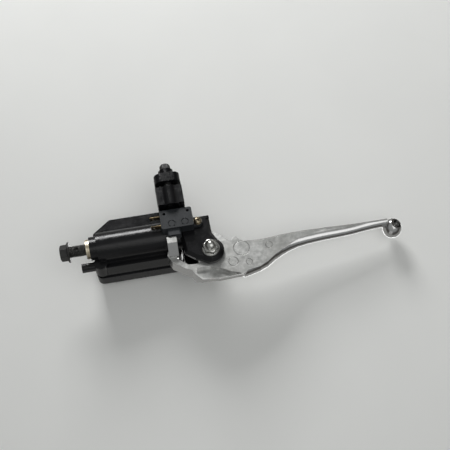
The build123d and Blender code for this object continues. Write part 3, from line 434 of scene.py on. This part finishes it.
zinc = metal_finish(
    "bright zinc plate", (0.44, 0.44, 0.42), (0.70, 0.70, 0.67), 0.14, 0.30, 4000.0, 0.02 * mm, 0.5,
    (0.18, 0.17, 0.15),
)
brass = metal_finish(
    "terminal brass", (0.07, 0.055, 0.035), (0.34, 0.26, 0.15), 0.22, 0.42, 4000.0, 0.02 * mm, 0.7,
    (0.2, 0.15, 0.08),
)
dull_zinc = metal_finish(
    "yellowed zinc plate", (0.20, 0.17, 0.12), (0.46, 0.40, 0.29), 0.2, 0.4, 4000.0, 0.02 * mm, 0.6,
    (0.08, 0.07, 0.05),
)
seal_washer = metal_finish(
    "sealing washer", (0.60, 0.52, 0.38), (0.85, 0.80, 0.66), 0.3, 0.45, 3000.0, 0.03 * mm, 0.5,
    (0.22, 0.17, 0.1),
)
piston_alloy = metal_finish(
    "anodised piston", (0.45, 0.42, 0.33), (0.58, 0.55, 0.45), 0.22, 0.36, 4000.0, 0.02 * mm, 0.3,
    (0.2, 0.18, 0.14),
)
spring_steel = metal_finish(
    "drawn spring wire", (0.32, 0.32, 0.32), (0.5, 0.5, 0.5), 0.2, 0.36, 4000.0, 0.02 * mm, 0.4,
    (0.1, 0.1, 0.1),
)
bronze = metal_finish(
    "sintered bronze", (0.34, 0.22, 0.10), (0.5, 0.34, 0.16), 0.35, 0.5, 4000.0, 0.04 * mm, 0.8,
    (0.12, 0.07, 0.03),
)
metals = (zinc, dull_zinc, brass, seal_washer, piston_alloy, spring_steel, bronze)
print("metal finishes:", [m.name for m in metals])

# %% [markdown]
# ## Lever alloy
# The lever is a cast bar whose flat faces keep a tumbled, mottled grey skin while its rounded front and
# its blade are polished. Which one a spot is can be read from its normal: a face that looks straight up
# or down is flat skin, every other face has been through the polishing wheel.

# %% Lever alloy


def lever_finish():
    """Polished alloy whose level faces are clouded and rougher, with pits."""
    material, tree, shader = finish_material("tumbled lever alloy", 1.0)
    normal = tree.nodes.new("ShaderNodeNewGeometry").outputs["Normal"]
    split = tree.nodes.new("ShaderNodeSeparateXYZ")
    tree.links.new(normal, split.inputs["Vector"])
    level = band(tree, maths(tree, "ABSOLUTE", split.outputs["Z"]), 0.93, 0.99)
    mottled = band(tree, noise(tree, 190.0, 7.0, 0.68), 0.36, 0.66)
    blotch = band(tree, noise(tree, 38.0, 4.0), 0.4, 0.68)
    skin = tint(tree, mottled, (0.36, 0.365, 0.355), (0.62, 0.625, 0.61))
    aged = tint(tree, maths(tree, "MULTIPLY", blotch, 0.45), skin, (0.36, 0.355, 0.335))
    pits = band(tree, noise(tree, 900.0, 4.0, 0.6), 0.66, 0.74)
    pitted = tint(tree, maths(tree, "MULTIPLY", pits, 0.5), aged, (0.2, 0.2, 0.19))
    tree.links.new(tint(tree, level, (0.66, 0.66, 0.655), pitted), shader.inputs["Base Color"])
    fine = maths(tree, "MULTIPLY", noise(tree, 420.0, 5.0), 0.16)
    rough_skin = maths(tree, "ADD", maths(tree, "MULTIPLY", level, 0.22), 0.12)
    tree.links.new(maths(tree, "ADD", rough_skin, fine), shader.inputs["Roughness"])
    brushed = noise(tree, 900.0, 3.0, 0.5, (0.15, 1.0, 1.0))
    tumbled = maths(tree, "MULTIPLY", use(tree, "skin_grain", Fine=1800.0, Coarse=500.0, Share=0.9), level)
    height = maths(tree, "ADD", tumbled, maths(tree, "MULTIPLY", brushed, 0.12))
    tree.links.new(rounded_bump(tree, height, 0.05 * mm, 0.5 * mm), shader.inputs["Normal"])
    return material


lever_alloy = lever_finish()
print("lever finish:", lever_alloy.name)


def sight_finish():
    """Clear moulded window with faint flow lines."""
    material, tree, shader = finish_material("sight window")
    shader.inputs["Transmission Weight"].default_value = 0.85
    shader.inputs["IOR"].default_value = 1.49
    tone = tint(tree, band(tree, noise(tree, 160.0, 3.0), 0.3, 0.7), (0.62, 0.6, 0.5), (0.78, 0.76, 0.66))
    tree.links.new(tone, shader.inputs["Base Color"])
    wander = maths(tree, "MULTIPLY", noise(tree, 300.0, 3.0), 0.2)
    tree.links.new(wander, shader.inputs["Roughness"])
    return material


# %% [markdown]
# ## Finishes on the engineering parts
# A part whose shape is already right keeps its mesh and only takes a better finish.

# %% Assign finishes
finishes = {
    "body_casting": cast_paint,
    "clamp_cap": cast_paint,
    "reservoir_cap": cap_paint,
    "cap_screws": zinc,
    "diaphragm": black_rubber,
    "diaphragm_plate": switch_plastic,
    "splash_plate": zinc,
    "sight_glass": sight_finish(),
    "sight_glass_ring": black_rubber,
    "clamp_bolts": black_steel,
    "clamp_washers": black_steel,
    "banjo_bolt": black_steel,
    "banjo_washers": seal_washer,
    "piston": piston_alloy,
    "primary_cup": black_rubber,
    "secondary_cup": black_rubber,
    "piston_spring": spring_steel,
    "spring_guide": zinc,
    "stop_washer": zinc,
    "snap_ring": spring_steel,
    "dust_boot": black_rubber,
    "brake_lever": lever_alloy,
    "pivot_bush": bronze,
    "pivot_bolt": zinc,
    "pivot_nut": zinc,
    "switch_housing": switch_plastic,
    "switch_cover": switch_plastic,
    "switch_plunger": switch_plastic,
    "switch_contact": brass,
    "switch_spring": spring_steel,
    "switch_terminals": brass,
    "switch_screw": zinc,
    "switch_screw_washer": dull_zinc,
}
for name, material in finishes.items():
    mesh = nodes[name].data
    mesh.materials.clear()
    mesh.materials.append(material)
print("finished", len(finishes), "engineering parts")

# %% [markdown]
# ## Turned pieces
# Bolts, nuts and washers are nearly turned shapes: a radius at each place along an axis, which a hexagon, a
# thread or a serration lets swing a little with the angle. They could be cut from cylinders with booleans,
# but one grid of points, with a row for each place along the axis and a column for each angle, gives
# clean faces and exact threads. The rows are computed as whole arrays, in millimetres.

# %% Grid surfaces
columns = 96
turn_angles = np.linspace(0.0, 2 * np.pi, columns, endpoint=False)
sharp_angle = math.radians(28.0)
weld_distance = 0.002 * mm


def box_mm(node):
    """Lowest and highest corner of a node, in mm."""
    low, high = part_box(node)
    return np.array(low) / mm, np.array(high) / mm


def about_axis(along, radius, origin, axis, side):
    """Point = origin + axis x along + radius x (side x cos angle + other x sin angle), in mm."""
    axis, side = np.array(axis, float), np.array(side, float)
    other = np.cross(axis, side)
    around = np.outer(np.cos(turn_angles), side) + np.outer(np.sin(turn_angles), other)
    along = np.broadcast_to(np.asarray(along, float).reshape(len(along), -1), radius.shape)
    return np.array(origin, float) + along[..., None] * axis + radius[..., None] * around[None, :, :]


def grid_faces(rows, count, start):
    """Quads between neighbouring rows of a grid that closes round on itself."""
    row, column = np.meshgrid(np.arange(rows - 1), np.arange(count), indexing="ij")
    here, below = row * count, (row + 1) * count
    nearby = (column + 1) % count
    quads = np.stack([here + column, here + nearby, below + nearby, below + column], axis=-1)
    return quads.reshape(-1, 4) + start


def grid_piece(name, grids, material, replaced):
    """One closed housing piece from grids of points in mm, standing for a node of the frame."""
    points, quads, start = [], [], 0
    for grid in grids:
        points.append(grid.reshape(-1, 3) * mm)
        quads.append(grid_faces(grid.shape[0], grid.shape[1], start))
        start += grid.shape[0] * grid.shape[1]
    mesh = bpy.data.meshes.new(name)
    mesh.from_pydata(np.concatenate(points), [], np.concatenate(quads).tolist())
    welded = bmesh.new()
    welded.from_mesh(mesh)
    bmesh.ops.remove_doubles(welded, verts=welded.verts, dist=weld_distance)
    bmesh.ops.dissolve_degenerate(welded, edges=welded.edges, dist=weld_distance / 2)
    bmesh.ops.recalc_face_normals(welded, faces=welded.faces)
    welded.to_mesh(mesh)
    welded.free()
    mesh.shade_smooth()
    mesh.set_sharp_from_angle(angle=sharp_angle)
    mesh.materials.append(material)
    piece = bpy.data.objects.new(name, mesh)
    bpy.context.scene.collection.objects.link(piece)
    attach(piece, "housing")
    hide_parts(replaced)
    print(name, "has", len(mesh.polygons), "faces")


def hexagon(apothem, turned=0.0):
    """Radius of a regular hexagon at each angle = apothem / cosine of the angle from a flat's middle."""
    from_flat = (turn_angles - turned + np.pi / 6) % (np.pi / 3) - np.pi / 6
    return apothem / np.cos(from_flat)


def lathe(stations):
    """Rows from (place, radius) pairs, where a radius is a number or an array over the angles."""
    along = np.array([place for place, _ in stations], float)
    radius = np.stack([np.broadcast_to(np.asarray(value, float), columns) for _, value in stations])
    return along, radius


def hex_head(end, base, apothem, hollow_r, hollow_depth, chamfer):
    """Head from its outer end, at the lower place, to its base: hollow, chamfered rim, then six flats."""
    corner = hexagon(apothem)
    return [
        (end + hollow_depth, 0.0),
        (end + hollow_depth, hollow_r * 0.92),
        (end, hollow_r),
        (end, apothem - chamfer * 0.6),
        (end + 0.1, np.minimum(corner, apothem - chamfer * 0.4)),
        (end + chamfer * 0.55, np.minimum(corner, apothem + chamfer * 0.35)),
        (end + chamfer, corner),
        (base - 0.05, corner),
        (base, corner),
    ]


# %% [markdown]
# ## Hose bolt
# The bolt that carries the brake hose: a chamfered hexagon, a thin flange with a serrated rim, and a
# threaded shank with a hole drilled across it for the fluid. The thread is a triangle wave of the place
# along the axis less the angle, so its crest climbs one pitch in each turn.

# %% Hose bolt
bolt_low, bolt_high = box_mm("banjo_bolt")
bolt_origin = (0.0, (bolt_low[1] + bolt_high[1]) / 2, (bolt_low[2] + bolt_high[2]) / 2)
bolt_apothem = 6.05
flange_r = (bolt_high[1] - bolt_low[1]) / 2
flange_at = bolt_low[0] + 6.0
shank_at = flange_at + 2.0
shank_r = 5.0
serrations = 30
serration_depth = 0.22
thread_pitch = 1.25
thread_depth = 0.5
thread_row = 0.2
cross_hole_place = shank_at + 6.0
cross_hole_r = 1.5
cross_hole_floor = 2.4


def threaded(places, outer, depth, pitch):
    """Radius = outer - depth x triangle wave of (place / pitch - angle / full turn)."""
    phase = (places[:, None] / pitch - turn_angles[None, :] / (2 * np.pi)) % 1.0
    return outer - depth * np.abs(2 * phase - 1)


def angle_from(centre):
    """Smallest angle between each column and centre."""
    return np.abs((turn_angles - centre + np.pi) % (2 * np.pi) - np.pi)


serrated = flange_r - serration_depth * (1 - np.abs(np.sin(serrations / 2 * turn_angles)))
head_along, head_radius = lathe(hex_head(bolt_low[0], flange_at, bolt_apothem, 3.4, 0.5, 1.0) + [
    (flange_at, flange_r - 1.1),
    (flange_at + 0.5, serrated - 0.25),
    (flange_at + 0.9, serrated),
    (flange_at + 1.7, serrated),
    (shank_at, serrated - 0.3),
    (shank_at, shank_r - 0.35),
])
thread_places = np.arange(shank_at + 0.1, bolt_high[0] - 1.2, thread_row)
thread_radius = threaded(thread_places, shank_r - 0.02, thread_depth, thread_pitch)
across_hole = np.minimum(angle_from(np.pi / 2), angle_from(3 * np.pi / 2)) * shank_r
from_hole = np.hypot((thread_places - cross_hole_place)[:, None], across_hole[None, :])
thread_radius = np.where(from_hole < cross_hole_r, cross_hole_floor, thread_radius)
tip_along, tip_radius = lathe([
    (bolt_high[0] - 0.8, shank_r - 0.5),
    (bolt_high[0], shank_r - 1.2),
    (bolt_high[0], 1.8),
    (bolt_high[0] - 6.0, 1.7),
    (bolt_high[0] - 6.0, 0.0),
])
bolt_grid = about_axis(
    np.concatenate([head_along, thread_places, tip_along]),
    np.concatenate([head_radius, thread_radius, tip_radius]),
    bolt_origin,
    (1, 0, 0),
    (0, 1, 0),
)
grid_piece("hose_bolt", [bolt_grid], black_steel, "banjo_bolt")

# %% [markdown]
# ## Pivot nut
# A flanged cap nut in bright zinc. Its dome is a quarter ellipse turned about the axis, its hexagon is
# chamfered at the top, and the flange has a soft outer edge.

# %% Pivot nut
nut_low, nut_high = box_mm("pivot_nut")
nut_origin = ((nut_low[0] + nut_high[0]) / 2, (nut_low[1] + nut_high[1]) / 2, nut_high[2])
nut_flange = (nut_high[1] - nut_low[1]) / 2
nut_hex_top = 5.5
nut_dome_r = 4.6
nut_apothem = 5.95
nut_corner = hexagon(nut_apothem, 0.2)
dome_height = nut_high[2] - nut_low[2] - nut_hex_top
dome_turn = np.linspace(0.0, np.pi / 2, 14)
dome_rows = zip(nut_hex_top + dome_height * np.sin(dome_turn), nut_dome_r * np.cos(dome_turn))
nut_along, nut_radius = lathe([
    (0.0, 0.0),
    (0.0, nut_flange - 0.4),
    (0.25, nut_flange - 0.08),
    (0.6, nut_flange),
    (1.1, nut_flange - 0.35),
    (1.5, nut_apothem + 0.75),
    (1.55, nut_corner),
    (nut_hex_top - 1.0, nut_corner),
    (nut_hex_top - 0.5, np.minimum(nut_corner, nut_apothem + 0.35)),
    (nut_hex_top - 0.05, nut_apothem - 0.45),
    (nut_hex_top, nut_dome_r + 0.35),
    (nut_hex_top - 0.1, nut_dome_r + 0.02),
    *dome_rows,
])
nut_grid = about_axis(nut_along, nut_radius, nut_origin, (0, 0, -1), (1, 0, 0))
grid_piece("cap_nut", [nut_grid], zinc, "pivot_nut")

# %% [markdown]
# ## Clamp bolts and their split washers
# Each clamp bolt has a chamfered head with a shallow hollow in its end. Under it sits a spring washer:
# a square bar wound once round, cut through, whose two ends stand a little apart.

# %% Clamp bolts and washers
clamp_low, clamp_high = box_mm("clamp_bolts")
washer_low, washer_high = box_mm("clamp_washers")
washer_seat_r = 5.4
clamp_bolt_heights = (washer_high[2] - washer_seat_r, washer_low[2] + washer_seat_r)
clamp_shank_r = 3.0
clamp_along, clamp_radius = lathe(hex_head(clamp_low[1], washer_low[1], 3.95, 2.0, 0.8, 0.7) + [
    (washer_low[1], clamp_shank_r),
    (clamp_high[1] - 0.6, clamp_shank_r),
    (clamp_high[1], clamp_shank_r - 0.6),
    (clamp_high[1], 0.0),
])
clamp_grids = [
    about_axis(clamp_along, clamp_radius, (0.0, 0.0, height), (0, 1, 0), (0, 0, 1))
    for height in clamp_bolt_heights
]
grid_piece("clamp_hex_bolts", clamp_grids, black_steel, "clamp_bolts")

washer_cuts = 72
washer_slit = 0.09
washer_bar = 1.0
washer_climb = 0.4


def split_washer(height, inner, outer):
    """Square bar along one turn of a helix: rows are its cuts, columns go round the bar's four sides."""
    turned = np.linspace(washer_slit, 2 * np.pi - washer_slit, washer_cuts)
    radius = np.broadcast_to(np.array([inner, outer, outer, inner]), (washer_cuts, 4))
    corner_up = np.array([0.0, 0.0, washer_bar, washer_bar])
    up_by = washer_low[1] + corner_up[None, :] + (washer_climb * turned / (2 * np.pi))[:, None]
    sideways = radius * np.cos(turned)[:, None]
    grid = np.stack([sideways, up_by, height + radius * np.sin(turned)[:, None]], axis=-1)
    first, last = (np.repeat(grid[k].mean(axis=0)[None, :], 4, axis=0)[None] for k in (0, -1))
    return np.concatenate([first, grid, last])


washer_grids = [split_washer(height, 3.3, 5.35) for height in clamp_bolt_heights]
grid_piece("clamp_split_washers", washer_grids, black_steel, "clamp_washers")

# %% [markdown]
# ## Cross-head screws
# A screw head is a low dome with a cross sunk in it. On a grid of rings and angles the height of each
# point is the dome less the cross, whose arms get shallower towards their tips.

# %% Cross-head screws
screw_shank_r = 1.95
cross_depth = 0.7


def cross_head(centre, facing, head_r, head_h, reach, domed, arm):
    """Height = head x (1 - domed x (ring / radius)^2) - cross; the shank goes the other way by reach."""
    rings = np.concatenate([np.linspace(0.0, 0.62, 16), np.linspace(0.66, 1.0, 8)]) * head_r
    dome = head_h * (1 - domed * (rings / head_r) ** 2)
    x = rings[:, None] * np.cos(turn_angles)[None, :]
    y = rings[:, None] * np.sin(turn_angles)[None, :]
    narrow = np.minimum(np.abs(x), np.abs(y))
    longest = np.maximum(np.abs(x), np.abs(y))
    inside_arm = np.clip((arm - narrow) / (0.35 * arm), 0.0, 1.0)
    before_tip = np.clip((0.6 * head_r - longest) / (0.3 * head_r), 0.0, 1.0)
    top = dome[:, None] - inside_arm * before_tip * cross_depth * head_h
    skirt = np.array([0.25 * head_h, 0.0, 0.0, -reach, -reach])
    skirt_r = np.array([head_r * 1.02, head_r * 0.98, screw_shank_r, screw_shank_r, 0.0])
    along = np.concatenate([top, np.broadcast_to(skirt[:, None], (len(skirt), columns))])
    radius = np.concatenate([rings, skirt_r])[:, None] * np.ones(columns)
    return about_axis(along, radius, centre, facing, (1, 0, 0))


screw_low, screw_high = box_mm("switch_screw")
screw_seat = screw_low[2] + 2.4
screw_centre = ((screw_low[0] + screw_high[0]) / 2, (screw_low[1] + screw_high[1]) / 2, screw_seat)
screw_grid = cross_head(screw_centre, (0, 0, -1), 3.02, 2.35, screw_high[2] - screw_seat, 0.42, 0.5)
grid_piece("switch_cross_screw", [screw_grid], dull_zinc, "switch_screw")

lid_low, lid_high = box_mm("cap_screws")
lid_seat = lid_high[2] - 2.2
lid_screw_r = 3.6
lid_screw_places = (
    (lid_low[0] + lid_screw_r, lid_high[1] - lid_screw_r),
    (lid_high[0] - lid_screw_r, lid_low[1] + lid_screw_r),
)
lid_grids = [
    cross_head((x, y, lid_seat), (0, 0, 1), 3.5, 2.15, lid_seat - lid_low[2], 0.25, 0.55)
    for x, y in lid_screw_places
]
grid_piece("lid_cross_screws", lid_grids, zinc, "cap_screws")

print("engineering box", cad_box)
